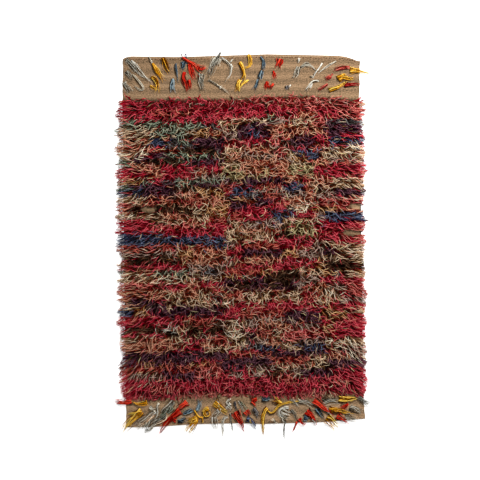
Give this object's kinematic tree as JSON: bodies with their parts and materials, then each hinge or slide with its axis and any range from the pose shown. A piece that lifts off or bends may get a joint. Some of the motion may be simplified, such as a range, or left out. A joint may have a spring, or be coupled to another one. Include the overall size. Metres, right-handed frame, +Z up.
{
  "type": "long-pile wool rug with kilim ends",
  "caption": "Shaggy many-coloured wool rug lying flat, with bare flat-woven kilim ends that carry scattered tufts of bright yarn.",
  "frame": {"origin": "on the floor under the middle of the rug's box", "axes": "+X across the rug, +Y along the rug towards its far end, +Z up out of the pile"},
  "size_m": [1.2846, 1.9136, 0.042],
  "materials": {
    "ground_wool": "hand-spun beige wool, flat tapestry weave, faint stripes, matt",
    "pile_wool": "long loose wool yarns in bands of crimson, rust, sand, navy, plum and grey-green, soft matt",
    "tuft_yellow_wool": "loose yellow-orange wool yarn, matt",
    "tuft_red_wool": "loose bright red wool yarn, matt",
    "tuft_blue_wool": "loose grey-blue wool yarn, matt",
    "tuft_grey_wool": "loose grey wool yarn, matt",
    "tuft_cream_wool": "loose cream wool yarn, matt"
  },
  "bodies": {
    "root": {"ground": "ground_wool", "pile": "pile_wool", "tuft_far_01": "tuft_grey_wool", "tuft_far_02": "tuft_cream_wool", "tuft_far_03": "tuft_cream_wool", "tuft_far_04": "tuft_grey_wool", "tuft_far_05": "tuft_yellow_wool", "tuft_far_06": "tuft_yellow_wool", "tuft_far_07": "tuft_yellow_wool", "tuft_far_08": "tuft_blue_wool", "tuft_far_09": "tuft_red_wool", "tuft_far_10": "tuft_red_wool", "tuft_far_11": "tuft_red_wool", "tuft_far_12": "tuft_grey_wool", "tuft_far_13": "tuft_grey_wool", "tuft_far_14": "tuft_cream_wool", "tuft_far_15": "tuft_yellow_wool", "tuft_far_16": "tuft_yellow_wool", "tuft_far_17": "tuft_blue_wool", "tuft_far_18": "tuft_blue_wool", "tuft_far_19": "tuft_red_wool", "tuft_far_20": "tuft_red_wool", "tuft_far_21": "tuft_grey_wool", "tuft_far_22": "tuft_grey_wool", "tuft_far_23": "tuft_cream_wool", "tuft_far_24": "tuft_cream_wool", "tuft_far_25": "tuft_red_wool", "tuft_far_26": "tuft_yellow_wool", "tuft_far_27": "tuft_yellow_wool", "tuft_far_28": "tuft_yellow_wool", "tuft_far_29": "tuft_red_wool", "tuft_near_01": "tuft_red_wool", "tuft_near_02": "tuft_yellow_wool", "tuft_near_03": "tuft_cream_wool", "tuft_near_04": "tuft_cream_wool", "tuft_near_05": "tuft_grey_wool", "tuft_near_06": "tuft_red_wool", "tuft_near_07": "tuft_red_wool", "tuft_near_08": "tuft_yellow_wool", "tuft_near_09": "tuft_yellow_wool", "tuft_near_10": "tuft_yellow_wool", "tuft_near_11": "tuft_cream_wool", "tuft_near_12": "tuft_red_wool", "tuft_near_13": "tuft_blue_wool", "tuft_near_14": "tuft_yellow_wool", "tuft_near_15": "tuft_yellow_wool", "tuft_near_16": "tuft_yellow_wool", "tuft_near_17": "tuft_grey_wool", "tuft_near_18": "tuft_grey_wool", "tuft_near_19": "tuft_red_wool", "tuft_near_20": "tuft_red_wool", "tuft_near_21": "tuft_blue_wool", "tuft_near_22": "tuft_yellow_wool", "tuft_near_23": "tuft_yellow_wool", "tuft_near_24": "tuft_yellow_wool", "tuft_near_25": "tuft_red_wool", "tuft_near_26": "tuft_grey_wool", "tuft_near_27": "tuft_grey_wool", "tuft_near_28": "tuft_cream_wool", "tuft_near_29": "tuft_cream_wool"}
  },
  "joints": []
}
